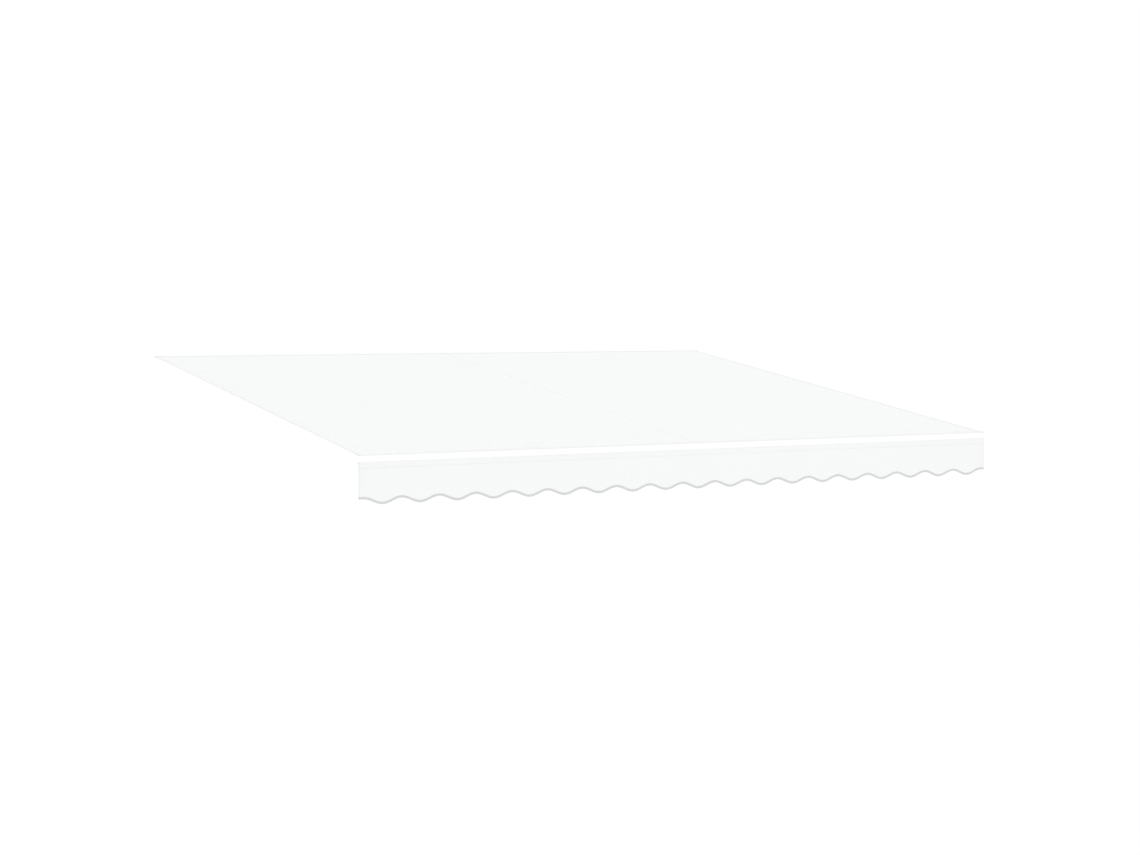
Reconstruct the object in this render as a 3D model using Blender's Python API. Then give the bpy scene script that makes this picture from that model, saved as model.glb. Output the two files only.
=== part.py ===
"""An awning cover: a sloping canopy sheet and a scalloped valance, each held by cords sewn into its edges.

Metres, +Z up, +X along the wall, +Y towards the wall. The origin is the middle of the canopy's back cord.
"""

from math import acos, asin, atan2, cos, pi, radians, sin, sqrt, tan

import bmesh
import bpy
from mathutils import Matrix, Vector

# Overall sizes
COVER_WIDTH = 3.85
CANOPY_LENGTH = 3.0  # down the slope, edge to edge
CANOPY_SLOPE = radians(7.81)
VALANCE_HEIGHT = 0.2055  # from the top edge to the low points of the scallops

# Where the grooves of a front bar hold the two cloths
GROOVE_DROP = 0.0353  # from the canopy's front cord down to the valance's cord
GROOVE_STEP = 0.006  # from the canopy's front cord forward to the valance's cord

# Scalloped edge and its binding
SCALLOP_COUNT = 19
SCALLOP_DEPTH = 0.027
SCALLOP_MARGIN = 0.025  # straight stretch at each end
BINDING_WIDTH = 0.0115
BINDING_TAPE = 0.0003  # thickness of the tape
RAW_SETBACK = 0.0015  # from the binding's folded edge up to the cut edge of the cloth

# Cloth, hems and seams
CLOTH = 0.0005
SIDE_HEM = 0.025
SEAM_LAP = 0.02
POCKET_DEPTH = 0.0325  # from the edge to the end of the ply that is turned round the cord
POCKET_STITCH = 0.027  # from the cord's centre to the stitching that closes the pocket
POCKET_NECK = 0.009  # from the cord's centre to where the groove presses the two plies together
EASE = 0.004  # length over which a ply steps over another

# Cords
CORD_RADIUS = 0.0025
CORD_PROUD = 0.002  # how far a cord stands out of the hem at each end

# Clearances
PLY_GAP = 0.0002  # between two plies of one panel
PIECE_GAP = 0.0003  # between two pieces that lie on each other

# Smoothness
LOOP_STEPS = 10
FOLD_STEPS = 4
STEPS_PER_SCALLOP = 10
CORD_SIDES = 24
CORD_RIM_ANGLE = radians(40)  # edges sharper than this stay sharp on a cord
FLAT_ANGLE = 0.01  # faces this near to one plane are made one, in radians

# Derived sizes
HALF_WIDTH = COVER_WIDTH / 2
PLY_STEP = CLOTH + PLY_GAP
LAP_STEP = CLOTH + PIECE_GAP
LOOP_RADIUS = CORD_RADIUS + PIECE_GAP + CLOTH / 2  # middle of the ply that lies round the cord
EDGE_REACH = LOOP_RADIUS + CLOTH / 2  # from a cord's centre to the finished edge
CORD_SPACING = CANOPY_LENGTH - 2 * EDGE_REACH  # between the canopy's two cords
SCALLOP_SPAN = COVER_WIDTH - 2 * SCALLOP_MARGIN
SCALLOP_PITCH = SCALLOP_SPAN / SCALLOP_COUNT

DOWN_SLOPE = Vector((0, -cos(CANOPY_SLOPE), -sin(CANOPY_SLOPE)))
OFF_SLOPE = Vector((0, -sin(CANOPY_SLOPE), cos(CANOPY_SLOPE)))
FRONT_CORD = DOWN_SLOPE * CORD_SPACING
VALANCE_CORD = FRONT_CORD + Vector((0, -GROOVE_STEP, -GROOVE_DROP))

# Finishes: sRGB colour and roughness
CANOPY_FINISH = ("F8FAF9", 0.65)
VALANCE_FINISH = ("F7F9F8", 0.65)
BINDING_FINISH = ("D8D9DB", 0.8)
CORD_FINISH = ("F2F2EE", 0.4)


def clear_scene():
    for item in list(bpy.data.objects):
        bpy.data.objects.remove(item, do_unlink=True)


def linear(hex_colour):
    """The linear colour of an sRGB hex value."""
    values = []
    for start in (0, 2, 4):
        share = int(hex_colour[start : start + 2], 16) / 255
        values.append(share / 12.92 if share <= 0.04045 else ((share + 0.055) / 1.055) ** 2.4)
    return (*values, 1)


def finish(name, hex_colour, roughness):
    """A plain material of the piece's own."""
    material = bpy.data.materials.new(name)
    material.use_nodes = True
    shader = material.node_tree.nodes["Principled BSDF"]
    shader.inputs["Base Color"].default_value = linear(hex_colour)
    shader.inputs["Roughness"].default_value = roughness
    shader.inputs["Metallic"].default_value = 0
    return material


def add_object(collection, name, mesh, material):
    piece = bpy.data.objects.new(name, mesh)
    mesh.materials.append(material)
    collection.objects.link(piece)
    return piece


def loft(name, rings):
    """A closed mesh through rings of points, one ring for each place across the cloth.

    A ring runs along one face of the cloth and back along the other, so quads close the first and the last.
    """
    bm = bmesh.new()
    loops = [[bm.verts.new(point) for point in ring] for ring in rings]
    count = len(rings[0])
    for loop, following in zip(loops, loops[1:]):
        for index in range(count):
            ahead = (index + 1) % count
            bm.faces.new((loop[index], loop[ahead], following[ahead], following[index]))
    for loop in (loops[0], loops[-1]):
        for index in range(count // 2 - 1):
            bm.faces.new((loop[index], loop[index + 1], loop[-index - 2], loop[-index - 1]))
    bmesh.ops.recalc_face_normals(bm, faces=bm.faces)
    bmesh.ops.dissolve_limit(bm, angle_limit=FLAT_ANGLE, verts=bm.verts, edges=bm.edges)
    mesh = bpy.data.meshes.new(name)
    bm.to_mesh(mesh)
    bm.free()
    return mesh


def shifted(points, distance):
    """A polyline in a plane moved sideways by a distance, with mitred corners."""
    moved = []
    for index, point in enumerate(points):
        before = point - points[max(index - 1, 0)]
        after = points[min(index + 1, len(points) - 1)] - point
        before = before if before.length else after
        after = after if after.length else before
        side_before = Vector((-before.y, before.x)).normalized()
        side_after = Vector((-after.y, after.x)).normalized()
        mitre = (side_before + side_after).normalized()
        moved.append(point + mitre * (distance / mitre.dot(side_after)))
    return moved


def pocket(extra):
    """The path of the cloth's middle round a cord, from the closing stitch to the end of the turned ply.

    The cord's centre is at 0, 0. x runs from the edge into the cloth and y off its outer face.
    extra is the thickness of the plies that lie between this one and the cord.
    """
    radius = LOOP_RADIUS + extra
    turned = -(PLY_STEP + 2 * extra)
    lean = asin(radius / POCKET_STITCH)
    neck = Vector((POCKET_NECK, (POCKET_STITCH - POCKET_NECK) * tan(lean) + turned))
    top = pi / 2 - lean
    bottom = 2 * pi + atan2(neck.y, neck.x) - acos(radius / neck.length)
    path = [Vector((POCKET_STITCH, 0))]
    for step in range(LOOP_STEPS + 1):
        angle = top + (bottom - top) * step / LOOP_STEPS
        path.append(Vector((radius * cos(angle), radius * sin(angle))))
    path.append(neck)
    path.append(Vector((POCKET_STITCH, turned)))
    path.append(Vector((POCKET_DEPTH - EDGE_REACH, turned)))
    return path


def panel_stations(side, lap_layer):
    """Places across one panel, from its seam to the end of its side hem, as (x, layer, extra, turn).

    side is 1 for the right panel and -1 for the left. lap_layer is how far the panel steps down where the
    other one laps over it. layer is how far the ply lies below the cloth's own plane, extra is the thickness
    of the plies under the outermost one, and turn is the angle that the side hem has folded through.
    """
    fold = PLY_STEP / 2
    fold_centre = HALF_WIDTH - CLOTH / 2 - fold
    stations = [
        (-SEAM_LAP / 2, lap_layer, LAP_STEP, 0),
        (SEAM_LAP / 2, lap_layer, LAP_STEP, 0),
        (SEAM_LAP / 2 + EASE, 0, 0, 0),
        (HALF_WIDTH - SIDE_HEM - EASE, 0, 0, 0),
        (HALF_WIDTH - SIDE_HEM, 0, PLY_STEP, 0),
    ]
    for step in range(FOLD_STEPS + 1):
        turn = pi * step / FOLD_STEPS
        stations.append((fold_centre + fold * sin(turn), fold * (1 - cos(turn)), PLY_STEP, turn))
    stations.append((HALF_WIDTH - SIDE_HEM, PLY_STEP, PLY_STEP, pi))
    return [(side * x, layer, extra, side * turn) for x, layer, extra, turn in stations]


def both_faces(line, x, layer, extra, turn):
    """A ring round the cloth at one station, from the line that its outer and its inner face follow."""
    aside = CLOTH / 2 * sin(turn)
    apart = CLOTH / 2 * cos(turn)
    outer = line(x + aside, layer - apart, extra)
    inner = line(x - aside, layer + apart, extra)
    return outer + inner[::-1]


def canopy_line(x, layer, extra):
    """Points down the slope, from the end of the back pocket to the end of the front one."""
    loop = pocket(extra)
    front = [Vector((CORD_SPACING - point.x, point.y)) for point in loop]
    line = shifted(loop[::-1] + front, -layer)
    return [Vector((x, 0, 0)) + DOWN_SLOPE * point.x + OFF_SLOPE * point.y for point in line]


def scallop(x):
    """Depth below the valance's top edge of the middle of the binding, and its slope."""
    along = min(max(x + SCALLOP_SPAN / 2, 0), SCALLOP_SPAN)
    turn = 2 * pi / SCALLOP_PITCH
    high = VALANCE_HEIGHT - BINDING_WIDTH / 2 - SCALLOP_DEPTH
    depth = high + SCALLOP_DEPTH / 2 * (1 - cos(turn * along))
    return depth, SCALLOP_DEPTH / 2 * turn * sin(turn * along)


def below_scallop(x, distance):
    """Depth below the valance's top edge of a line that runs beside the binding's middle."""
    depth, slope = scallop(x)
    return depth + distance * sqrt(1 + slope * slope)


def valance_point(x, depth, proud):
    """A point of the valance: depth below its top edge, and proud of its plane towards the front."""
    return VALANCE_CORD + Vector((x, -proud, EDGE_REACH - depth))


def valance_line(x, layer, extra):
    """Points down the valance, from the end of its pocket, over the cord and on to the scalloped edge."""
    path = pocket(extra)[::-1]
    cut_edge = below_scallop(x, BINDING_WIDTH / 2 - RAW_SETBACK) - EDGE_REACH
    path.append(Vector((cut_edge, 0)))
    line = shifted(path, -layer)
    return [valance_point(x, EDGE_REACH + point.x, point.y) for point in line]


def with_scallops(stations):
    """Stations along the scalloped edge, with more of them wherever a step of the scallops lies between two."""
    spacing = SCALLOP_PITCH / STEPS_PER_SCALLOP
    steps = [count * spacing - SCALLOP_SPAN / 2 for count in range(SCALLOP_COUNT * STEPS_PER_SCALLOP + 1)]
    filled = []
    for first, second in zip(stations, stations[1:]):
        low, high = sorted((first[0], second[0]))
        found = [x for x in steps if low + CLOTH < x < high - CLOTH]
        filled.append(first)
        for x in found if first[0] < second[0] else reversed(found):
            share = (x - first[0]) / (second[0] - first[0])
            filled.append(tuple(start + share * (end - start) for start, end in zip(first, second)))
    return filled + [stations[-1]]


def add_canopy(collection):
    for name, side, lap_layer in (("canopy_panel_right", 1, 0), ("canopy_panel_left", -1, LAP_STEP)):
        rings = [both_faces(canopy_line, *station) for station in panel_stations(side, lap_layer)]
        add_object(collection, name, loft(name, rings), finish(name, *CANOPY_FINISH))


def add_valance(collection):
    for name, side, lap_layer in (("valance_panel_left", -1, 0), ("valance_panel_right", 1, LAP_STEP)):
        stations = with_scallops(panel_stations(side, lap_layer))
        rings = [both_faces(valance_line, *station) for station in stations]
        add_object(collection, name, loft(name, rings), finish(name, *VALANCE_FINISH))


def binding_stations():
    """Places along the binding as (x, what lies behind the valance's front ply there)."""
    left = [
        (-HALF_WIDTH, PLY_STEP),
        (SIDE_HEM - HALF_WIDTH, PLY_STEP),
        (SIDE_HEM + EASE - HALF_WIDTH, 0),
        (-SEAM_LAP / 2 - EASE, 0),
        (-SEAM_LAP / 2, LAP_STEP),
    ]
    return left + [(-x, behind) for x, behind in reversed(left)]


def binding_ring(x, behind):
    """The tape's section at one place: down the front, round the cut edge of the cloth and up the back."""
    front = CLOTH / 2 + PIECE_GAP + BINDING_TAPE / 2
    middle = -behind / 2
    fold = front - middle
    top = below_scallop(x, -BINDING_WIDTH / 2)
    turn_centre = below_scallop(x, BINDING_WIDTH / 2) - BINDING_TAPE / 2 - fold
    path = [Vector((top, front))]
    for step in range(FOLD_STEPS + 1):
        angle = pi * step / FOLD_STEPS
        path.append(Vector((turn_centre + fold * sin(angle), middle + fold * cos(angle))))
    path.append(Vector((top, middle - fold)))
    around = shifted(path, BINDING_TAPE / 2) + shifted(path, -BINDING_TAPE / 2)[::-1]
    return [valance_point(x, point.x, point.y) for point in around]


def add_binding(collection):
    rings = [binding_ring(*station) for station in with_scallops(binding_stations())]
    name = "valance_binding"
    add_object(collection, name, loft(name, rings), finish(name, *BINDING_FINISH))


def add_cord(collection, name, centre):
    """A straight round cord along X, with its middle at centre."""
    bm = bmesh.new()
    bmesh.ops.create_cone(
        bm,
        cap_ends=True,
        segments=CORD_SIDES,
        radius1=CORD_RADIUS,
        radius2=CORD_RADIUS,
        depth=COVER_WIDTH + 2 * CORD_PROUD,
        matrix=Matrix.Rotation(pi / 2, 4, "Y"),
    )
    mesh = bpy.data.meshes.new(name)
    bm.to_mesh(mesh)
    bm.free()
    mesh.shade_smooth()
    mesh.set_sharp_from_angle(angle=CORD_RIM_ANGLE)
    cord = add_object(collection, name, mesh, finish(name, *CORD_FINISH))
    cord.location = centre


def main():
    clear_scene()
    collection = bpy.data.collections.new("awning_cover")
    bpy.context.scene.collection.children.link(collection)
    add_canopy(collection)
    add_valance(collection)
    add_binding(collection)
    add_cord(collection, "back_keder_cord", Vector((0, 0, 0)))
    add_cord(collection, "front_keder_cord", FRONT_CORD)
    add_cord(collection, "valance_keder_cord", VALANCE_CORD)


main()
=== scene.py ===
from math import acos, asin, atan2, ceil, cos, exp, floor, pi, radians, sin, sqrt, tan

import bmesh
import bpy
from mathutils import Matrix, Vector
from mathutils.bvhtree import BVHTree


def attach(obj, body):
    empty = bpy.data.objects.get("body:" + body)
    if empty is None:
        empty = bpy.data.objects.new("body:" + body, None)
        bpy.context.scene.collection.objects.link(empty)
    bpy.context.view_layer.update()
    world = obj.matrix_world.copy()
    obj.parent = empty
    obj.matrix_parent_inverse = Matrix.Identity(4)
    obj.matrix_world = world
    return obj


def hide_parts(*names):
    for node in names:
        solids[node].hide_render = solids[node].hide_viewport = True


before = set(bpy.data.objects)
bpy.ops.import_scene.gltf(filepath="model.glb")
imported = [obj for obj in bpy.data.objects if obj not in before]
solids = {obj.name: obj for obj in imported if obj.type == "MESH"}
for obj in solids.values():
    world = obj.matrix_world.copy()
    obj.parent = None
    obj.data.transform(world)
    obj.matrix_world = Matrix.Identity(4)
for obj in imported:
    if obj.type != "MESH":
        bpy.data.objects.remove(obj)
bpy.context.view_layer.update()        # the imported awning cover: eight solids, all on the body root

# A white awning canopy and its scalloped valance, in the pose that they have on an open awning.
# Metres, +Z up, +X along the wall, +Y towards the wall; the origin is the middle of the canopy's back cord.

scene = bpy.context.scene
scene.view_settings.view_transform = "Standard"

# Sizes of the cover, the same as in the solids apart from lapGap
cover = {
    "width": 3.85,
    "length": 3.0,               # down the slope, edge to edge
    "slope": radians(7.81),
    "valanceHeight": 0.2055,     # to the low points of the scallops
    "grooveDrop": 0.0353,        # from the canopy's front cord down to the valance's cord
    "grooveStep": 0.006,         # and forward
    "cordRadius": 0.0025,
    "cloth": 0.0005,             # thickness
    "sideHem": 0.025,
    "seamLap": 0.02,
    "pocketDepth": 0.0325,       # from the edge to the end of the ply turned round the cord
    "pocketStitch": 0.027,       # from the cord's centre to where the pocket is sewn shut
    "pocketNeck": 0.009,         # from the cord's centre to where the groove presses the two plies together
    "ease": 0.004,               # length over which a ply steps over another
    "plyGap": 0.0002,            # between two plies of one panel
    "pieceGap": 0.0003,          # between two pieces that lie on each other
    "lapGap": 0.0001,            # between the two panels, which the middle seam presses together
}
halfWidth = cover["width"] / 2
clothHalf = cover["cloth"] / 2
plyStep = cover["cloth"] + cover["plyGap"]
lapStep = cover["cloth"] + cover["lapGap"]
loopRadius = cover["cordRadius"] + cover["pieceGap"] + clothHalf  # middle of the ply that lies round a cord
edgeReach = loopRadius + clothHalf                                # from a cord's centre to the outer face
cordSpacing = cover["length"] - 2 * edgeReach
lapEnd = cover["seamLap"] / 2               # these four are measured from the middle
lapEaseEnd = lapEnd + cover["ease"]
hemStart = halfWidth - cover["sideHem"]
hemEaseStart = hemStart - cover["ease"]

downSlope = Vector((0, -cos(cover["slope"]), -sin(cover["slope"])))
offSlope = Vector((0, -sin(cover["slope"]), cos(cover["slope"])))
alongWall = Vector((1, 0, 0))
toFront = Vector((0, -1, 0))
straightDown = Vector((0, 0, -1))
valanceCord = downSlope * cordSpacing + toFront * cover["grooveStep"] + straightDown * cover["grooveDrop"]


def linearColour(hexColour):
    # sRGB hex to the linear values that a shader takes
    shares = [int(hexColour[start:start + 2], 16) / 255 for start in (0, 2, 4)]
    return [s / 12.92 if s <= 0.04045 else ((s + 0.055) / 1.055) ** 2.4 for s in shares] + [1]


def addNode(tree, kind, sockets=None, **settings):
    # kind is the node's type without ShaderNode; sockets gives each input a value or the output that feeds it
    # A Mix node has its factor at 0, numbers at 2 and 3, colours at 6 and 7, and gives its colour at 2.
    node = tree.nodes.new("ShaderNode" + kind)
    for name, value in settings.items():
        setattr(node, name, value)
    for name, value in (sockets or {}).items():
        if isinstance(value, bpy.types.NodeSocket):
            tree.links.new(value, node.inputs[name])
        else:
            node.inputs[name].default_value = value
    return node


def emptyMaterial(name):
    material = bpy.data.materials.new(name)
    material.use_nodes = True
    material.node_tree.nodes.clear()
    return material, material.node_tree


def waveScale(pitch):
    # a wave texture's bands along X or Y come round every 2 * pi / 20 / scale, diagonal ones half as often
    return 2 * pi / 20 / pitch


def plainWeave(tree, flat, threadPitch):
    # Height of a plain weave: each warp thread arches over one weft thread and under the next.
    # The crests lie in the middle of the checker's squares.
    arch = 0.4              # how much lower a thread lies where it dives
    bands = {"Vector": flat, "Scale": waveScale(threadPitch), "Phase Offset": -pi / 2}
    warp = addNode(tree, "TexWave", bands, bands_direction="X").outputs["Fac"]
    weft = addNode(tree, "TexWave", bands, bands_direction="Y").outputs["Fac"]
    warpArch = addNode(tree, "Math", {0: warp, 1: arch, 2: 1 - arch}, operation="MULTIPLY_ADD")
    weftArch = addNode(tree, "Math", {0: weft, 1: arch, 2: 1 - arch}, operation="MULTIPLY_ADD")
    warpOver = addNode(tree, "Math", {0: warp, 1: weftArch.outputs[0]}, operation="MULTIPLY")
    weftOver = addNode(tree, "Math", {0: weft, 1: warpArch.outputs[0]}, operation="MULTIPLY")
    squares = addNode(tree, "TexChecker", {"Vector": flat, "Scale": 1 / threadPitch})
    weave = addNode(tree, "Mix", {
        0: squares.outputs["Fac"],
        2: warpOver.outputs[0],
        3: weftOver.outputs[0],
    }, data_type="FLOAT")
    return weave.outputs[0]


def slubStreaks(tree, flat, width, length):
    # thick and thin threads, as streaks along the warp and along the weft
    streaks = []
    for scale in ((1 / width, 1 / length, 1), (1 / length, 1 / width, 1)):
        stretched = addNode(tree, "Mapping", {"Vector": flat, "Scale": scale})
        noise = addNode(tree, "TexNoise", {
            "Vector": stretched.outputs["Vector"],
            "Scale": 1.0,
            "Detail": 2.0,
        })
        streaks.append(noise.outputs["Fac"])
    return addNode(tree, "Math", {0: streaks[0], 1: streaks[1]}, operation="ADD").outputs[0]


def coatedPolyester(name, tone, paintedShadeTone, turned):
    # Woven polyester, dyed white and coated with polyurethane: matt, with a faint sheen at a flat angle,
    # a fine weave of slightly uneven threads, and painted shade that greys it along folds, cords and rows of
    # stitches.
    material, tree = emptyMaterial(name)
    threadPitch = 0.003     # real threads are 0.5 mm apart; drawn 6 times coarser to show in a close view
    slubWidth, slubLength = 0.003, 0.15     # of a thick or thin stretch of thread
    slubHeight = 0.25       # as a share of the weave's
    coatPatch = 0.3         # width of the coat's own uneven patches
    place = addNode(tree, "TexCoord")
    laid = addNode(tree, "Mapping", {
        "Vector": place.outputs["Object"],
        "Rotation": (turned, 0, 0),     # lays the pattern in the cloth's plane
    })
    flat = laid.outputs["Vector"]
    weave = plainWeave(tree, flat, threadPitch)
    slubs = slubStreaks(tree, flat, slubWidth, slubLength)
    coat = addNode(tree, "TexNoise", {"Vector": flat, "Scale": 1 / coatPatch, "Detail": 3.0})
    shades = addNode(tree, "Math", {0: slubs, 1: coat.outputs["Fac"]}, operation="ADD")
    patches = addNode(tree, "MapRange", {
        "Value": shades.outputs[0],
        "From Min": 1.1,
        "From Max": 1.9,
        "To Min": 0.993,
        "To Max": 1.007,
    })
    # painted shade: the weave's troughs a little darker and its crests a little lighter
    paintedWeaveShade = addNode(tree, "MapRange", {"Value": weave, "To Min": 0.99, "To Max": 1.022})
    shade = addNode(tree, "Math", {0: patches.outputs[0], 1: paintedWeaveShade.outputs[0]}, operation="MULTIPLY")
    cloth = addNode(tree, "Mix", {
        0: 1.0,
        6: linearColour(tone),
        7: shade.outputs[0],
    }, data_type="RGBA", blend_type="MULTIPLY")
    # painted shade: this attribute greys the cloth along folded edges, round the cords and beside rows of
    # stitches
    paintedShade = addNode(tree, "Attribute", attribute_name="paintedShade")
    colour = addNode(tree, "Mix", {
        0: paintedShade.outputs["Fac"],
        6: cloth.outputs[2],
        7: linearColour(paintedShadeTone),
    }, data_type="RGBA")
    roughness = addNode(tree, "MapRange", {
        "Value": coat.outputs["Fac"],
        "From Min": 0.3,
        "From Max": 0.7,
        "To Min": 0.62,
        "To Max": 0.7,
    })
    relief = addNode(tree, "Math", {0: slubs, 1: slubHeight, 2: weave}, operation="MULTIPLY_ADD")
    bump = addNode(tree, "Bump", {"Height": relief.outputs[0], "Strength": 0.5, "Distance": 0.0004})
    shader = addNode(tree, "BsdfPrincipled", {
        "Base Color": colour.outputs[2],
        "Roughness": roughness.outputs[0],
        "Normal": bump.outputs["Normal"],
        "IOR": 1.5,
        "Specular IOR Level": 0.25,     # the threads break up the coat's shine
        "Sheen Weight": 0.05,
        "Sheen Roughness": 0.4,
    })
    addNode(tree, "OutputMaterial", {"Surface": shader.outputs["BSDF"]})
    return material


def wovenTape(name, tone):
    # Polyester binding tape, woven narrow with fine ribs across it: light grey, matt, its ribs just visible.
    material, tree = emptyMaterial(name)
    ribPitch = 0.003        # the real ribs are 1 mm apart; drawn 3 times coarser
    yarnPitch = ribPitch / 2
    blotch = 0.025          # width of the dye's uneven patches
    yarnHeight = 0.4        # as a share of the ribs'
    place = addNode(tree, "UVMap", uv_map="tapePlace")
    laid = place.outputs["UV"]      # metres along the tape and across it
    ribs = addNode(tree, "TexWave", {"Vector": laid, "Scale": waveScale(ribPitch)}, bands_direction="X")
    yarns = addNode(tree, "TexWave", {"Vector": laid, "Scale": waveScale(yarnPitch)}, bands_direction="Y")
    uneven = addNode(tree, "TexNoise", {"Vector": laid, "Scale": 1 / blotch, "Detail": 3.0})
    height = addNode(tree, "Math", {
        0: yarns.outputs["Fac"],
        1: yarnHeight,
        2: ribs.outputs["Fac"],
    }, operation="MULTIPLY_ADD")
    # the dye's uneven patches, and painted shade that darkens the tape between its ribs and yarns
    shades = addNode(tree, "Math", {0: uneven.outputs["Fac"], 1: height.outputs[0]}, operation="ADD")
    shade = addNode(tree, "MapRange", {
        "Value": shades.outputs[0],
        "From Min": 0.3,
        "From Max": 1.9,
        "To Min": 0.95,
        "To Max": 1.03,
    })
    colour = addNode(tree, "Mix", {
        0: 1.0,
        6: linearColour(tone),
        7: shade.outputs[0],
    }, data_type="RGBA", blend_type="MULTIPLY")
    bump = addNode(tree, "Bump", {"Height": height.outputs[0], "Strength": 0.6, "Distance": 0.00015})
    shader = addNode(tree, "BsdfPrincipled", {
        "Base Color": colour.outputs[2],
        "Normal": bump.outputs["Normal"],
        "Roughness": 0.8,
        "IOR": 1.5,
        "Specular IOR Level": 0.2,
        "Sheen Weight": 0.08,
        "Sheen Roughness": 0.5,
    })
    addNode(tree, "OutputMaterial", {"Surface": shader.outputs["BSDF"]})
    return material


def extrudedPvc(name, tone, agedTone):
    # Soft PVC, extruded as a cord: satin white, with faint lines along it from the die and yellower spots.
    material, tree = emptyMaterial(name)
    lineWidth, lineLength = 0.0004, 0.5     # of the die's lines
    spot = 0.04                             # width of the yellower spots
    place = addNode(tree, "TexCoord")
    drawn = addNode(tree, "Mapping", {
        "Vector": place.outputs["Object"],
        "Scale": (1 / lineLength, 1 / lineWidth, 1 / lineWidth),
    })
    lines = addNode(tree, "TexNoise", {"Vector": drawn.outputs["Vector"], "Scale": 1.0, "Detail": 2.0})
    spots = addNode(tree, "TexNoise", {"Vector": place.outputs["Object"], "Scale": 1 / spot})
    colour = addNode(tree, "Mix", {
        0: spots.outputs["Fac"],
        6: linearColour(tone),
        7: linearColour(agedTone),
    }, data_type="RGBA")
    roughness = addNode(tree, "MapRange", {"Value": lines.outputs["Fac"], "To Min": 0.32, "To Max": 0.46})
    bump = addNode(tree, "Bump", {"Height": lines.outputs["Fac"], "Strength": 0.4, "Distance": 0.00005})
    shader = addNode(tree, "BsdfPrincipled", {
        "Base Color": colour.outputs[2],
        "Roughness": roughness.outputs[0],
        "Normal": bump.outputs["Normal"],
        "IOR": 1.54,
    })
    addNode(tree, "OutputMaterial", {"Surface": shader.outputs["BSDF"]})
    return material


def spunThread(name, tone, paintedPlyShade):
    # Spun polyester thread, three plies twisted: pale grey with a soft gloss, and painted shade darker
    # between the plies.
    material, tree = emptyMaterial(name)
    plyPitch = 0.00042      # along the thread, from one ply to the next
    place = addNode(tree, "UVMap", uv_map="threadPlace")
    twist = addNode(tree, "TexWave", {
        "Vector": place.outputs["UV"],
        "Scale": 2 * waveScale(plyPitch),
    }, bands_direction="DIAGONAL")
    # painted shade: the thread darker between its plies
    colour = addNode(tree, "Mix", {
        0: twist.outputs["Fac"],
        6: linearColour(paintedPlyShade),
        7: linearColour(tone),
    }, data_type="RGBA")
    bump = addNode(tree, "Bump", {"Height": twist.outputs["Fac"], "Strength": 0.5, "Distance": 0.00005})
    shader = addNode(tree, "BsdfPrincipled", {
        "Base Color": colour.outputs[2],
        "Normal": bump.outputs["Normal"],
        "Roughness": 0.5,
        "IOR": 1.5,
        "Sheen Weight": 0.1,
    })
    addNode(tree, "OutputMaterial", {"Surface": shader.outputs["BSDF"]})
    return material


# The camera that the photograph was taken from, and a white studio
photoCamera = {
    "place": (-5.9119, -11.9814, 0.2838),
    "yaw": radians(29.709),      # to the right of +Y
    "pitch": radians(-3.2554),
    "roll": radians(0.0441),
    "lens": 65.499,
    "sensor": 36.0,
    "sight": 500,                # how far it sees
}
studio = {
    "floorLevel": -5.5,          # below the wall rail: an awning on an upper floor
    "floorRadius": 90.0,
    "floorSides": 96,
    "floorLift": 0.05,           # the paper then comes to 1 where no shadow falls
    "paperTones": ("FCFCFC", "FAFAFA"),
    "skyLight": 0.94,
    "keyLight": 0.27,            # watts per square metre: about a fifteenth of the light on the canopy
    "keyFrom": (-0.3, -0.65, 0.7),
    "keyWidth": radians(30),
}


def studioPaper(name, tones):
    # Seamless paper: even, matt and pale. The camera sees it lifted to white, with the cover's shadow on it.
    # From below it isn't there, so that the cover's underside can be looked at.
    material, tree = emptyMaterial(name)
    mottle = 1 / 3          # width of the paper's uneven patches
    fibres = addNode(tree, "TexNoise", {"Scale": 1 / mottle, "Detail": 4.0})
    shade = addNode(tree, "Mix", {
        0: fibres.outputs["Fac"],
        6: linearColour(tones[0]),
        7: linearColour(tones[1]),
    }, data_type="RGBA")
    paper = addNode(tree, "BsdfDiffuse", {"Color": shade.outputs[2]})
    path = addNode(tree, "LightPath")
    lift = addNode(tree, "Math", {
        0: path.outputs["Is Camera Ray"],
        1: studio["floorLift"],
    }, operation="MULTIPLY")
    glow = addNode(tree, "Emission", {"Strength": lift.outputs[0]})
    lifted = addNode(tree, "AddShader", {0: paper.outputs[0], 1: glow.outputs[0]})
    clear = addNode(tree, "BsdfTransparent")
    side = addNode(tree, "NewGeometry")
    oneSided = addNode(tree, "MixShader", {
        0: side.outputs["Backfacing"],
        1: lifted.outputs[0],
        2: clear.outputs[0],
    })
    addNode(tree, "OutputMaterial", {"Surface": oneSided.outputs[0]})
    return material


def addCamera():
    lens = bpy.data.cameras.new("photoCamera")
    lens.lens = photoCamera["lens"]
    lens.sensor_width = photoCamera["sensor"]
    lens.clip_end = photoCamera["sight"]
    camera = bpy.data.objects.new("photoCamera", lens)
    yaw, pitch = photoCamera["yaw"], photoCamera["pitch"]
    ahead = Vector((sin(yaw) * cos(pitch), cos(yaw) * cos(pitch), sin(pitch)))
    turn = ahead.to_track_quat("-Z", "Y").to_matrix() @ Matrix.Rotation(photoCamera["roll"], 3, "Z")
    camera.matrix_world = Matrix.Translation(photoCamera["place"]) @ turn.to_4x4()
    scene.collection.objects.link(camera)
    scene.camera = camera


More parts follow.
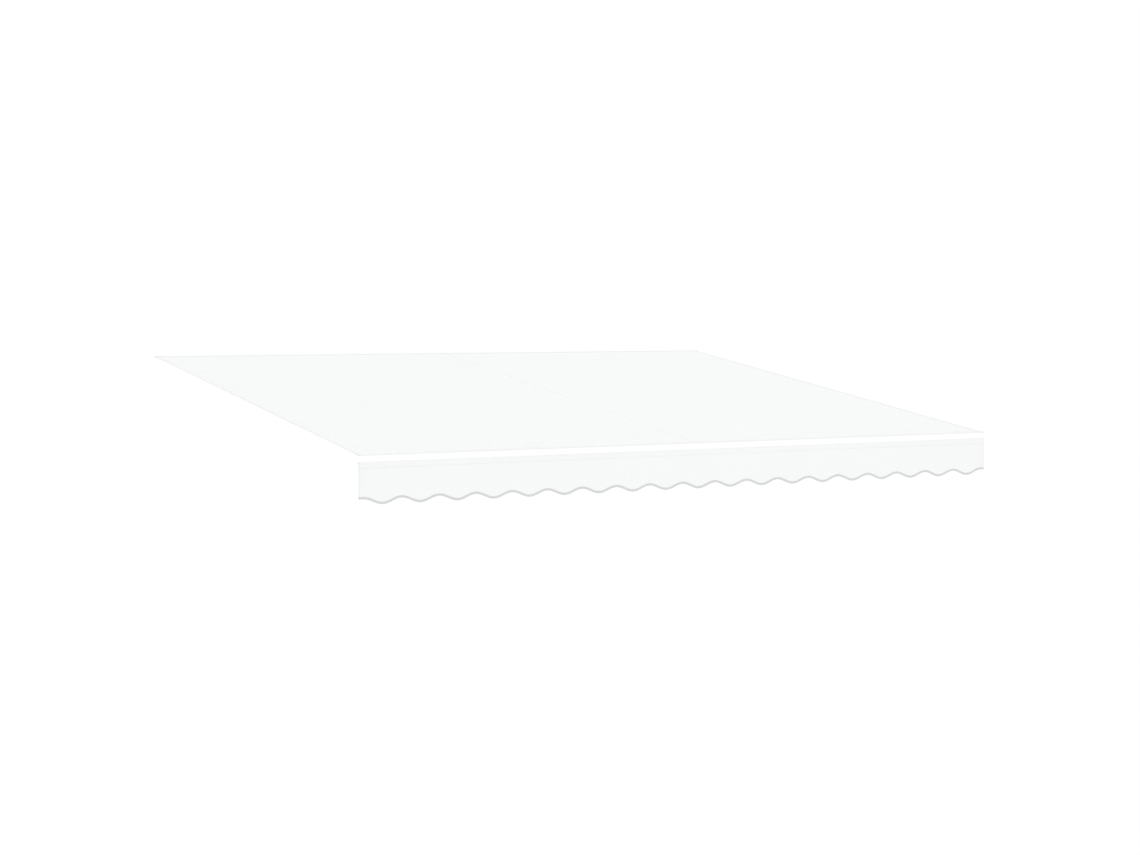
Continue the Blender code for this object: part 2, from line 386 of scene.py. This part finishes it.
def addSky():
    # an even white sky, a little dimmer as a light than as a background
    world = bpy.data.worlds.new("studioSky")
    world.use_nodes = True
    tree = world.node_tree
    tree.nodes.clear()
    path = addNode(tree, "LightPath")
    seen = addNode(tree, "Math", {
        0: path.outputs["Is Camera Ray"],
        1: path.outputs["Is Glossy Ray"],
    }, operation="MAXIMUM")
    white = addNode(tree, "Math", {
        0: seen.outputs[0],
        1: path.outputs["Is Transmission Ray"],
    }, operation="MAXIMUM")
    level = addNode(tree, "MapRange", {
        "Value": white.outputs[0],
        "To Min": studio["skyLight"],
        "To Max": 1.0,
    })
    sky = addNode(tree, "Background", {"Color": (1, 1, 1, 1), "Strength": level.outputs[0]})
    addNode(tree, "OutputWorld", {"Surface": sky.outputs[0]})
    scene.world = world


def addKeyLight():
    key = bpy.data.lights.new("keyLight", "SUN")
    key.energy = studio["keyLight"]
    key.angle = studio["keyWidth"]
    lamp = bpy.data.objects.new("keyLight", key)
    lamp.rotation_mode = "QUATERNION"
    lamp.rotation_quaternion = Vector(studio["keyFrom"]).to_track_quat("Z", "Y")
    scene.collection.objects.link(lamp)


def addFloor():
    bm = bmesh.new()
    bmesh.ops.create_circle(bm, cap_ends=True, segments=studio["floorSides"], radius=studio["floorRadius"])
    mesh = bpy.data.meshes.new("studioFloor")
    bm.to_mesh(mesh)
    bm.free()
    mesh.materials.append(studioPaper("studioPaper", studio["paperTones"]))
    ground = bpy.data.objects.new("studioFloor", mesh)
    ground.location = (0, 0, studio["floorLevel"])
    scene.collection.objects.link(ground)


addCamera()
addSky()
addKeyLight()
addFloor()
print("camera and studio ready")


def smoothStep(value, start, full):
    # 0 at start and 1 at full, of which either may be the larger
    share = min(max((value - start) / (full - start), 0), 1)
    return share * share * (3 - 2 * share)


def paintedEdgeShade(distance, start, full, strength):
    # how much shade is painted on the cloth at a distance from an edge
    return strength * smoothStep(distance, start, full)


def paintedRowShade(away, strength, reach):
    # and how much shade is painted beside a row of stitches
    return strength * exp(-(away / reach) ** 2)


def unevenWave(place, lengths, start=0):
    # from -1 to 1, and it hardly repeats; lengths are its waves' lengths, and start moves them along
    waves = [sin(2 * pi * place / length + start * (rank + 1)) for rank, length in enumerate(lengths)]
    return sum(waves) / len(waves)


def pucker(away, reach, place, lengths, start):
    # cloth gathered by a row of stitches: away from the row, at a place along it; it ends 3 reaches away
    share = away / reach
    return exp(-share * share) * unevenWave(place, lengths, start) if abs(share) < 3 else 0


def spread(low, high, step):
    # even places between low and high, about a step apart
    count = max(round((high - low) / step), 1)
    return [low + (high - low) * index / count for index in range(1, count)]


def multiples(step, low, high):
    # the multiples of step between low and high
    return [step * index for index in range(ceil(low / step), floor(high / step) + 1)]


def shifted(points, distance):
    # a line in a plane moved sideways, with mitred corners
    moved = []
    for index, point in enumerate(points):
        before = point - points[max(index - 1, 0)]
        after = points[min(index + 1, len(points) - 1)] - point
        before = before if before.length else after
        after = after if after.length else before
        sideBefore = Vector((-before.y, before.x)).normalized()
        sideAfter = Vector((-after.y, after.x)).normalized()
        mitre = (sideBefore + sideAfter).normalized()
        moved.append(point + mitre * (distance / mitre.dot(sideAfter)))
    return moved


def closedMesh(name, points, faces):
    # a smooth mesh with its faces turned outwards
    mesh = bpy.data.meshes.new(name)
    mesh.from_pydata(points, [], faces)
    bm = bmesh.new()
    bm.from_mesh(mesh)
    bmesh.ops.recalc_face_normals(bm, faces=bm.faces)
    bm.to_mesh(mesh)
    bm.free()
    mesh.shade_smooth()
    return mesh


def setUvMap(mesh, name, places):
    # places has one for each vertex
    layer = mesh.uv_layers.new(name=name)
    for loop in mesh.loops:
        layer.data[loop.index].uv = places[loop.vertex_index]


def addPiece(name, mesh, material):
    piece = bpy.data.objects.new(name, mesh)
    mesh.materials.append(material)
    scene.collection.objects.link(piece)
    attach(piece, "root")
    return piece


# How finely the cloth is meshed where it folds
fineness = {
    "roundCord": 16,             # steps
    "roundFold": 8,
    "overPly": 4,                # where a ply steps over another
    "lapShares": (-1, -0.6, -0.2, 0.2, 0.6, 1),       # of half the lap
    "foldInset": 0.0025,         # from the side edge to where the hem's fold starts
    "leg": (0.005, 0.009, 0.013, 0.017, 0.021, 0.0242, 0.0262),      # along a pocket, from the cord
    "behindStitch": (0.0274, 0.0284, 0.030, 0.033, 0.037, 0.042),    # and on into the cloth
    "sharpAngle": radians(40),   # edges that turn more than this aren't smoothed
}
hemFlat = cover["sideHem"] - fineness["foldInset"]


def pocketPath(extra):
    # The cloth's middle round a cord at 0, 0, from the pocket's stitches to the end of the turned ply. x runs
    # from the edge into the cloth, y off its outer face; extra is what lies between this ply and the cord.
    stitch = cover["pocketStitch"]
    radius = loopRadius + extra
    turned = -(plyStep + 2 * extra)
    lean = asin(radius / stitch)
    neck = Vector((cover["pocketNeck"], (stitch - cover["pocketNeck"]) * tan(lean) + turned))
    top = pi / 2 - lean
    bottom = 2 * pi + atan2(neck.y, neck.x) - acos(radius / neck.length)
    loop = []
    for step in range(fineness["roundCord"] + 1):
        angle = top + (bottom - top) * step / fineness["roundCord"]
        loop.append(Vector((radius * cos(angle), radius * sin(angle))))
    outer = Vector((stitch, 0))
    inner = Vector((stitch, turned))
    outerLeg = [outer.lerp(loop[0], (x - stitch) / (loop[0].x - stitch)) for x in reversed(fineness["leg"])]
    innerLeg = []
    for x in fineness["leg"]:
        one, two = (neck, inner) if x > neck.x else (loop[-1], neck)
        innerLeg.append(one.lerp(two, (x - one.x) / (two.x - one.x)))
    end = Vector((cover["pocketDepth"] - edgeReach, turned))
    return [outer] + outerLeg + loop + innerLeg + [inner, end]


def acrossPanel(side, lapLayer, fieldPlaces, stripPlaces, hemShares):
    # Places across a panel, from its seam to the end of its side hem: (x, layer, extra, turn, stripOnly).
    # layer is how far the ply lies under the cloth's own plane, extra what lies under the outermost ply there
    # and turn the angle that the hem has folded through. stripOnly places are meshed near the cords only.
    places = [(lapEnd * share, lapLayer, lapStep, 0, False) for share in fineness["lapShares"]]
    steps = fineness["overPly"]
    for step in range(1, steps + 1):
        share = 1 - smoothStep(step, 0, steps)
        places.append((lapEnd + cover["ease"] * step / steps, lapLayer * share, lapStep * share, 0, False))
    for x in sorted({*fieldPlaces, *stripPlaces}):
        places.append((x, 0, 0, 0, x not in fieldPlaces))
    for step in range(steps + 1):
        share = smoothStep(step, 0, steps)
        places.append((hemEaseStart + cover["ease"] * step / steps, 0, plyStep * share, 0, False))
    hemPlaces = [hemStart + share * hemFlat for share in hemShares]
    places += [(x, 0, plyStep, 0, False) for x in hemPlaces]
    fold = plyStep / 2
    foldCentre = halfWidth - clothHalf - fold
    for step in range(fineness["roundFold"] + 1):
        turn = pi * step / fineness["roundFold"]
        places.append((foldCentre + fold * sin(turn), fold * (1 - cos(turn)), plyStep, turn, False))
    places += [(x, plyStep, plyStep, pi, False) for x in reversed([hemStart] + hemPlaces)]
    return [(side * x, layer, extra, side * turn, strip) for x, layer, extra, turn, strip in places]


def buildSheet(name, places, lineAt, pointAt, paintedShadeAt, stripRows=0):
    # A closed sheet of cloth with both of its faces. lineAt gives the flat line that a face follows at x, and
    # pointAt sets a point of that line in space. stripOnly places have only the first and last stripRows.
    points, paintedShades, rings = [], [], []
    for x, layer, extra, turn, stripOnly in places:
        aside, apart = clothHalf * sin(turn), clothHalf * cos(turn)
        ring = []
        for across, depth in ((x + aside, layer - apart), (x - aside, layer + apart)):
            line = lineAt(across, depth, extra)
            face = []
            for row, point in enumerate(line):
                if stripOnly and stripRows <= row < len(line) - stripRows:
                    face.append(None)
                    continue
                face.append(len(points))
                points.append(pointAt(across, point))
                paintedShades.append(paintedShadeAt(across, point))
            ring.append(face)
        rings.append(ring)
    faces = sheetFaces(rings)
    mesh = closedMesh(name, points, faces)
    mesh.set_sharp_from_angle(angle=fineness["sharpAngle"])
    # the painted shade of each point, which the cloth's material reads
    mesh.attributes.new("paintedShade", "FLOAT", "POINT").data.foreach_set("value", paintedShades)
    return mesh


def sheetFaces(rings):
    # both faces of the sheet, then the ends of its lines, then its two side edges
    rowCount = len(rings[0][0])
    faces = []
    for side in (0, 1):
        for row in range(rowCount - 1):
            lines = [(ring[side][row], ring[side][row + 1]) for ring in rings]
            used = [index for index, line in enumerate(lines) if None not in line]
            for first, last in zip(used, used[1:]):
                near = [line[0] for line in lines[first:last + 1] if line[0] is not None]
                far = [line[1] for line in lines[first:last + 1] if line[1] is not None]
                faces.append(near + far[::-1])
    for row in (0, rowCount - 1):
        for one, two in zip(rings, rings[1:]):
            faces.append([one[0][row], two[0][row], two[1][row], one[1][row]])
    for ring in (rings[0], rings[-1]):
        for row in range(rowCount - 1):
            faces.append([ring[0][row], ring[0][row + 1], ring[1][row + 1], ring[1][row]])
    return faces


canopy = {
    "tone": "F8FAF9",
    # painted shade: the grey laid along the folds and round the cords
    "paintedShadeTone": "EDEEEE",
    "sag": 0.007,                # of each half, between the cords
    "tension": 0.0006,           # ripples that run from cord to cord
    "tensionLengths": (0.41, 0.263),
    "tensionFades": (1.9, 1.1),  # lengths over which they grow and fade
    "tensionFading": 0.3,        # share of them that fades
    "fadingStart": 2,            # moves that along
    "gather": 0.00022,           # puckers along the rows of stitches
    "gatherLengths": (0.061, 0.043),
    "gatherReach": 0.012,
    "calmToCord": (0.007, 0.016),    # relief starts and is full this far from a cord
    "hemRow": 0.0225,            # of stitches, from the side edge
    "pocketRow": 0.0274,         # from a cord's centre
    "rowStep": 0.008,            # between points down the cloth
    "fieldStep": 0.12,           # between places across it
    "stripStep": 0.008,          # the same in the strips near the cords
    "beside": (0.006, 0.013, 0.022, 0.038, 0.065),   # places beside the seam and the hem, where it gathers
    "hemShares": (0.2, 0.4, 0.6, 0.8, 0.92, 1),      # places across the hem's flat part
    "paintedShadeLeft": (0.015, 0.005, 0.85),    # painted shade along an edge: where it starts, is full, and how strong
    "paintedShadeRight": (0.034, 0.0113, 0.85),
    "paintedShadeFront": (0.010, 0.004, 0.5),    # from the cord's centre
    "paintedShadeBack": (0.024, 0.012, 1.0),
}


def canopyRelief(x, down):
    # how far the cloth lies off its plane; the edges, the cords and the middle seam stay straight
    across = min(abs(x) / halfWidth, 1)
    along = min(max(down / cordSpacing, 0), 1)
    belly = sin(pi * across) ** 2 * sin(pi * along)
    fading = canopy["tensionFading"]
    strength = 1 - fading + fading * unevenWave(down, canopy["tensionFades"], canopy["fadingStart"])
    ripple = canopy["tension"] * strength * unevenWave(x, canopy["tensionLengths"])
    relief = ripple * sqrt(belly) - canopy["sag"] * belly
    reach, lengths = canopy["gatherReach"], canopy["gatherLengths"]
    hemRow = halfWidth - canopy["hemRow"]
    pocketRow = canopy["pocketRow"]
    for rank, row in enumerate((0, hemRow, -hemRow)):    # rank starts each row's waves at another place
        relief += canopy["gather"] * pucker(x - row, reach, down, lengths, rank)
    for rank, row in enumerate((pocketRow, cordSpacing - pocketRow), 3):
        relief += canopy["gather"] * pucker(down - row, reach, x, lengths, rank)
    toCord = min(abs(down), abs(cordSpacing - down))
    return relief * smoothStep(toCord, *canopy["calmToCord"])


canopyLines = {}


def canopyLine(x, depth, extra):
    # from the end of the back pocket to the end of the front one; it is the same at every x
    key = (round(depth, 9), round(extra, 9))    # to a nanometre
    if key not in canopyLines:
        loop = pocketPath(extra)
        front = [Vector((cordSpacing - point.x, point.y)) for point in loop]
        near = list(fineness["behindStitch"])
        far = [cordSpacing - down for down in reversed(near)]
        field = [Vector((down, 0)) for down in near + spread(near[-1], far[0], canopy["rowStep"]) + far]
        canopyLines[key] = shifted(loop[::-1] + field + front, -depth)
    return canopyLines[key]


def onCanopy(x, down, off=0):
    # a point of the flat canopy, or off its face
    return alongWall * x + downSlope * down + offSlope * off


def canopyPoint(x, point):
    return onCanopy(x, point.x, point.y + canopyRelief(x, point.x))


def canopyPaintedShade(x, point):
    # painted shade along the folded side edges, less round the front cord, and round the back cord
    side = paintedEdgeShade(halfWidth - abs(x), *canopy["paintedShadeLeft" if x < 0 else "paintedShadeRight"])
    front = paintedEdgeShade(cordSpacing - point.x, *canopy["paintedShadeFront"])
    back = paintedEdgeShade(point.x, *canopy["paintedShadeBack"])
    return max(side, front, back)


def canopyField():
    # close together beside the seam and the hem, far apart between
    beside = canopy["beside"]
    nearSeam = [lapEaseEnd + gap for gap in beside]
    nearHem = [hemEaseStart - gap for gap in reversed(beside)]
    return nearSeam + spread(nearSeam[-1], nearHem[0], canopy["fieldStep"]) + nearHem


canopyCloth = coatedPolyester("coatedPolyesterCanopy", canopy["tone"], canopy["paintedShadeTone"], -cover["slope"])
stripStep = canopy["stripStep"]
strips = spread(lapEaseEnd + stripStep / 2, hemEaseStart - stripStep / 2, stripStep)
pocketRows = len(pocketPath(0)) + len(fineness["behindStitch"]) + 2    # with the first rows of the field
canopyPanels = {}
for name, side, lapLayer in (("right", 1, 0), ("left", -1, lapStep)):    # the right panel laps over the left
    places = acrossPanel(side, lapLayer, canopyField(), strips, canopy["hemShares"])
    node = "canopy_panel_" + name
    mesh = buildSheet(node + "_cloth", places, canopyLine, canopyPoint, canopyPaintedShade, pocketRows)
    canopyPanels[name] = addPiece(node + "_cloth", mesh, canopyCloth)
    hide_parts(node)
print("canopy panels:", [len(panel.data.polygons) for panel in canopyPanels.values()], "faces")


valance = {
    "tone": "F7F9F8",
    # painted shade: the grey laid along the folds, round the cord and beside the rows of stitches
    "paintedShadeTone": "E9E9E9",
    "count": 19,                 # scallops
    "depth": 0.027,              # of a scallop
    "margin": 0.025,             # straight stretch at each end
    "ripple": 0.0012,            # slow waves of the hanging cloth
    "rippleLengths": (0.57, 0.36),
    "rippleStart": 1,            # moves them along
    "rippleFrom": (0.025, 0.2),  # depths where they start and are full
    "gather": 0.0002,            # puckers along the rows of stitches
    "gatherLengths": (0.058, 0.041),
    "gatherReach": 0.010,
    "calmToCord": (0.007, 0.016),    # relief starts and is full this far below the cord
    "seamRow": 0.0075,           # of stitches, from the middle
    "hemRow": 0.0225,            # from the side edge
    "pocketRow": 0.0307,         # below the top edge
    "stepsPerScallop": 28,
    "clear": 0.001,              # least room between these places and those of the seam and the hem
    "fieldRows": 20,
    "rowCrowding": 1.15,         # above 1, rows lie closer together near the pocket
    "hemShares": (0.05, 0.08, 0.11, 0.14, 0.17, 0.22, 0.35, 0.48, 0.6, 0.7, 0.79, 0.86, 0.93, 1),
    "paintedShadeLeft": (0.0095, 0.004, 0.55),   # painted shade along an edge, as for the canopy
    "paintedShadeRight": (0.016, 0.002, 0.38),
    "paintedShadeTop": (0.002, -0.001, 0.2),     # from the cord's centre down
    "paintedShadePocket": (0.42, 0.0012),     # painted shade along a row of stitches: how strong, and half its width
    "paintedShadeHem": (0.12, 0.0014),
}
binding = {
    "tone": "D8D9DB",
    "width": 0.0115,
    "tape": 0.0003,              # thickness
    "setback": 0.0015,           # from the folded edge up to the cut edge of the cloth
    "gather": 0.00016,           # of its free edge, where the curve is tight
    "gatherLength": 0.009,
    "gatherReach": 0.002,
    "stitchRow": 0.0025,         # from its free edge
    "foldSteps": 8,
    "downShares": (0, 0.12, 0.3, 0.65),  # places down its flat part
    "endSteps": (0, 0.004, 0.010),       # and along it, at its ends
    "clear": 0.002,              # least room between those at its ends and the others
}
scallopSpan = cover["width"] - 2 * valance["margin"]
scallopPitch = scallopSpan / valance["count"]
scallopStep = scallopPitch / valance["stepsPerScallop"]
tapeOff = clothHalf + cover["pieceGap"] + binding["tape"] / 2    # from the cloth's middle to the tape's


def scallop(x):
    # depth of the binding's middle below the valance's top edge, and its slope
    along = min(max(x + scallopSpan / 2, 0), scallopSpan)
    turn = 2 * pi / scallopPitch
    high = cover["valanceHeight"] - binding["width"] / 2 - valance["depth"]
    depth = high + valance["depth"] / 2 * (1 - cos(turn * along))
    return depth, valance["depth"] / 2 * turn * sin(turn * along)


def besideScallop(x, distance):
    # depth of a line that runs beside the binding's middle
    depth, slope = scallop(x)
    return depth + distance * sqrt(1 + slope * slope)


def valanceRelief(x, depth):
    # towards the front: slow ripples of the hanging cloth, and gathers along the rows of stitches
    ripple = valance["ripple"] * unevenWave(x, valance["rippleLengths"], valance["rippleStart"])
    relief = ripple * smoothStep(depth, *valance["rippleFrom"])
    reach, lengths = valance["gatherReach"], valance["gatherLengths"]
    hemRow = halfWidth - valance["hemRow"]
    bindingTop = besideScallop(x, -binding["width"] / 2)
    for rank, row in enumerate((valance["seamRow"], hemRow, -hemRow)):
        relief += valance["gather"] * pucker(x - row, reach, depth, lengths, rank)
    for rank, row in enumerate((valance["pocketRow"], bindingTop), 3):
        relief += valance["gather"] * pucker(depth - row, reach, x, lengths, rank)
    return relief * smoothStep(depth - edgeReach, *valance["calmToCord"])


def onValance(x, depth, front=0):
    # a point of the flat valance, or in front of it; depth is measured from the top edge
    return valanceCord + alongWall * x + toFront * front + straightDown * (depth - edgeReach)


def inValance(x, depth, front):
    # the same on the rippled one
    return onValance(x, depth, front + valanceRelief(x, depth))


def valancePoint(x, point):
    return inValance(x, point.x + edgeReach, point.y)


def valanceLine(x, depth, extra):
    # from the end of the pocket, over the cord and down to the cut edge
    path = pocketPath(extra)[::-1] + [Vector((down, 0)) for down in fineness["behindStitch"]]
    start = fineness["behindStitch"][-1]
    cutEdge = besideScallop(x, binding["width"] / 2 - binding["setback"]) - edgeReach
    for row in range(1, valance["fieldRows"] + 1):
        share = (row / valance["fieldRows"]) ** valance["rowCrowding"]
        path.append(Vector((start + (cutEdge - start) * share, 0)))
    return shifted(path, -depth)


def valancePaintedShade(x, point):
    # painted shade along the folded side edges, the left one more, round the cord, and along the rows of
    # stitches
    side = paintedEdgeShade(halfWidth - abs(x), *valance["paintedShadeLeft" if x < 0 else "paintedShadeRight"])
    top = paintedEdgeShade(point.x, *valance["paintedShadeTop"])
    row = paintedRowShade(point.x + edgeReach - valance["pocketRow"], *valance["paintedShadePocket"])
    hem = paintedRowShade(halfWidth - abs(x) - valance["hemRow"], *valance["paintedShadeHem"])
    return max(side, top, row, hem)


valanceCloth = coatedPolyester("coatedPolyesterValance", valance["tone"], valance["paintedShadeTone"], -pi / 2)
valanceField = multiples(scallopStep, lapEaseEnd + valance["clear"], hemEaseStart - valance["clear"])
valancePanels = {}
for name, side, lapLayer in (("left", -1, 0), ("right", 1, lapStep)):    # the left panel laps over the right
    places = acrossPanel(side, lapLayer, valanceField, [], valance["hemShares"])
    node = "valance_panel_" + name
    mesh = buildSheet(node + "_cloth", places, valanceLine, valancePoint, valancePaintedShade)
    valancePanels[name] = addPiece(node + "_cloth", mesh, valanceCloth)
    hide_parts(node)
print("valance panels:", [len(panel.data.polygons) for panel in valancePanels.values()], "faces")


def behindFront(x):
    # thickness of what lies behind the valance's front ply at x
    seam = lapStep * (1 - smoothStep(abs(x), lapEnd, lapEaseEnd))
    hem = plyStep * smoothStep(abs(x), hemEaseStart, hemStart)
    return max(seam, hem)


def tapeSection(x):
    # (depth, front) points of the tape's middle at x: down the front, round the cloth's cut edge, up the back
    middle = -behindFront(x) / 2
    fold = tapeOff - middle
    top = besideScallop(x, -binding["width"] / 2)
    bend = besideScallop(x, binding["width"] / 2) - binding["tape"] / 2 - fold
    depths = [top + (bend - top) * share for share in binding["downShares"]]
    path = [Vector((depth, tapeOff)) for depth in depths]
    for step in range(binding["foldSteps"] + 1):
        angle = pi * step / binding["foldSteps"]
        path.append(Vector((bend + fold * sin(angle), middle + fold * cos(angle))))
    return path + [Vector((depth, middle - fold)) for depth in reversed(depths)]


def tapeFaces(rings):
    # round the tape, then its two ends
    count = len(rings[0])
    faces = []
    for one, two in zip(rings, rings[1:]):
        for index in range(count):
            following = (index + 1) % count
            faces.append([one[index], one[following], two[following], two[index]])
    for ring in (rings[0], rings[-1]):
        for index in range(count // 2 - 1):
            faces.append([ring[index], ring[index + 1], ring[count - 2 - index], ring[count - 1 - index]])
    return faces


def buildTape(name):
    ends = [halfWidth - step for step in binding["endSteps"]]
    inside = ends[-1] - binding["clear"]
    xs = [-x for x in ends] + multiples(scallopStep, -inside, inside) + ends[::-1]
    points, places, rings = [], [], []
    along, last = 0, Vector((xs[0], scallop(xs[0])[0]))
    for x in xs:
        middle = Vector((x, scallop(x)[0]))
        along += (middle - last).length
        last = middle
        path = tapeSection(x)
        down = [0]
        for one, two in zip(path, path[1:]):
            down.append(down[-1] + (two - one).length)
        outer, inner = shifted(path, binding["tape"] / 2), shifted(path, -binding["tape"] / 2)
        tight = 0.5 + 0.5 * cos(2 * pi * x / scallopPitch)    # 1 at the low points, where the curve is tight
        wave = 0.5 + 0.5 * sin(2 * pi * along / binding["gatherLength"])
        ring = []
        for point, place in zip(outer + inner[::-1], down + down[::-1]):
            free = tight * exp(-((point.x - path[0].x) / binding["gatherReach"]) ** 2)
            ruffle = binding["gather"] * free * wave
            ring.append(len(points))
            points.append(inValance(x, point.x, point.y + (ruffle if point.y > 0 else -ruffle)))
            places.append((along, place))
        rings.append(ring)
    mesh = closedMesh(name, points, tapeFaces(rings))
    mesh.set_sharp_from_angle(angle=fineness["sharpAngle"])
    setUvMap(mesh, "tapePlace", places)
    return mesh


tapeWeave = wovenTape("wovenPolyesterTape", binding["tone"])
tapePiece = addPiece("valance_binding_tape", buildTape("valance_binding_tape"), tapeWeave)
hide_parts("valance_binding")
print("binding:", len(tapePiece.data.polygons), "faces")


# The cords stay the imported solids; each gets its material on the object. The panels lie on them.
cords = {
    "tone": "F2F2EE",
    "agedTone": "EFEEE8",
    "canopy": ["back_keder_cord", "front_keder_cord"],
    "valance": ["valance_keder_cord"],
}
cordPlastic = extrudedPvc("extrudedPvcCord", cords["tone"], cords["agedTone"])
for name in cords["canopy"] + cords["valance"]:
    cord = solids[name]
    if not cord.material_slots:
        cord.data.materials.append(None)
    for holder in cord.material_slots:
        holder.link = "OBJECT"
        holder.material = cordPlastic
print("cords finished")


stitching = {
    "length": 0.005,
    "gap": 0.0006,               # between two stitches, where the thread dives
    "radius": 0.0003,
    "sides": 4,
    "girth": 0.0006,             # once round the thread, in its UV map
    "proud": 0.00012,            # of the thread's middle, above the cloth
    "arch": ((0.16, 0.6), (0.5, 1), (0.84, 0.6)),    # places along a stitch, and its share of that rise there
    "sunk": 0.0003,              # of its ends, below the cloth's face
    "tone": "F4F5F5",
    "paintedPlyShade": "E8EAEB",         # painted shade between the plies
    "endGap": 0.0012,            # from a row's end to the edge
    "tack": 0.02,                # length of the second row that locks a row's end
    "tackAside": 0.0008,
    "search": 0.02,              # how far off the flat cloth its face may lie
}


def surfaceOf(pieces):
    # in which a ray finds the cloth's faces
    points, faces = [], []
    for piece in pieces:
        start = len(points)
        points += [vertex.co.copy() for vertex in piece.data.vertices]
        faces += [[start + index for index in polygon.vertices] for polygon in piece.data.polygons]
    return BVHTree.FromPolygons(points, faces)


def addStitch(spots, outwards, store):
    # one stitch over three spots of the cloth: the thread comes up, lies on the cloth and dives
    points, faces, places = store
    sides = stitching["sides"]
    tangent = (spots[2] - spots[0]).normalized()
    aside = tangent.cross(outwards).normalized()
    upwards = aside.cross(tangent)
    stations = [(share, stitching["proud"] * rise, stitching["radius"]) for share, rise in stitching["arch"]]
    rings = []
    for share, height, radius in [(0, -stitching["sunk"], 0)] + stations + [(1, -stitching["sunk"], 0)]:
        half = int(share > 0.5)
        centre = spots[half].lerp(spots[half + 1], share * 2 - half) + upwards * height
        ring = []
        for corner in range(sides if radius else 1):
            angle = 2 * pi * (corner + 0.5) / sides
            ring.append(len(points))
            points.append(centre + (aside * cos(angle) + upwards * sin(angle)) * radius)
            places.append((share * stitching["length"], stitching["girth"] * corner / sides))
        rings.append(ring if radius else ring * sides)
    for one, two in zip(rings, rings[1:]):
        for corner in range(sides):
            following = (corner + 1) % sides
            face = (one[corner], one[following], two[following], two[corner])
            faces.append(list(dict.fromkeys(face)))    # a triangle where the thread comes to a point


def stitchRow(surface, pathAt, start, end, outwards, store):
    # a row of stitches on one face of the cloth, along pathAt from start to end
    count = max(round((pathAt(end) - pathAt(start)).length / stitching["length"]), 1)
    step = (end - start) / count
    halfGap = stitching["gap"] / stitching["length"] / 2
    reach = stitching["search"]
    for index in range(count):
        spots = []
        for share in (halfGap, 0.5, 1 - halfGap):
            point = pathAt(start + step * (index + share))
            spots.append(surface.ray_cast(point + outwards * reach, -outwards, 2 * reach)[0])
        if None not in spots:
            addStitch(spots, outwards, store)


def addStitches(name, surface, rows, faceUp):
    # rows of stitches on both faces of the cloth; a row is its path, its start and its end
    store = ([], [], [])
    for pathAt, start, end in rows:
        for outwards in (faceUp, -faceUp):
            stitchRow(surface, pathAt, start, end, outwards, store)
    points, faces, places = store
    mesh = closedMesh(name, points, faces)
    setUvMap(mesh, "threadPlace", places)
    print(name, len(faces), "faces")
    return addPiece(name, mesh, thread)


def canopyAcross(down):
    return lambda x: onCanopy(x, down)


def canopyDown(x):
    return lambda down: onCanopy(x, down)


def valanceAcross(depth):
    return lambda x: onValance(x, depth)


def valanceDown(x):
    return lambda depth: onValance(x, depth)


def alongBinding(x):
    return onValance(x, besideScallop(x, binding["stitchRow"] - binding["width"] / 2))


def lockedRow(across, place, aside, side):
    # a row from the middle to one side edge, and a short second one beside it that locks its end
    end = side * (halfWidth - stitching["endGap"])
    tack = end - side * stitching["tack"]
    return [(across(place), 0, end), (across(place + aside), tack, end)]


def sewCanopy(name, rows):
    return addStitches(name, canopySurface, rows, offSlope)


def sewValance(name, rows):
    return addStitches(name, valanceSurface, rows, toFront)


thread = spunThread("spunPolyesterThread", stitching["tone"], stitching["paintedPlyShade"])
canopySurface = surfaceOf(canopyPanels.values())
valanceSurface = surfaceOf([*valancePanels.values(), tapePiece])
tackAside = stitching["tackAside"]
endGap = stitching["endGap"]
canopyThreads, valanceThreads = {}, {}
for name, side in (("left", -1), ("right", 1)):
    rows = [(canopyDown(side * (halfWidth - canopy["hemRow"])), 0, cordSpacing)]
    rows += lockedRow(canopyAcross, canopy["pocketRow"], tackAside, side)
    rows += lockedRow(canopyAcross, cordSpacing - canopy["pocketRow"], -tackAside, side)
    canopyThreads[name] = sewCanopy("canopy_stitches_" + name, rows)
    hemEnd = scallop(halfWidth)[0] - binding["width"] / 2 - endGap
    rows = [(valanceDown(side * (halfWidth - valance["hemRow"])), edgeReach, hemEnd)]
    rows += lockedRow(valanceAcross, valance["pocketRow"], tackAside, side)
    valanceThreads[name] = sewValance("valance_stitches_" + name, rows)
canopyThreads["seam"] = sewCanopy("canopy_seam_stitches", [(canopyDown(0), 0, cordSpacing)])
seamEnd = besideScallop(valance["seamRow"], -binding["width"] / 2) - endGap
rows = [(valanceDown(valance["seamRow"]), edgeReach, seamEnd)]
valanceThreads["seam"] = sewValance("valance_seam_stitches", rows)
rows = [(alongBinding, endGap - halfWidth, halfWidth - endGap)]
bindingThread = sewValance("binding_stitches", rows)
print("stitches sewn")
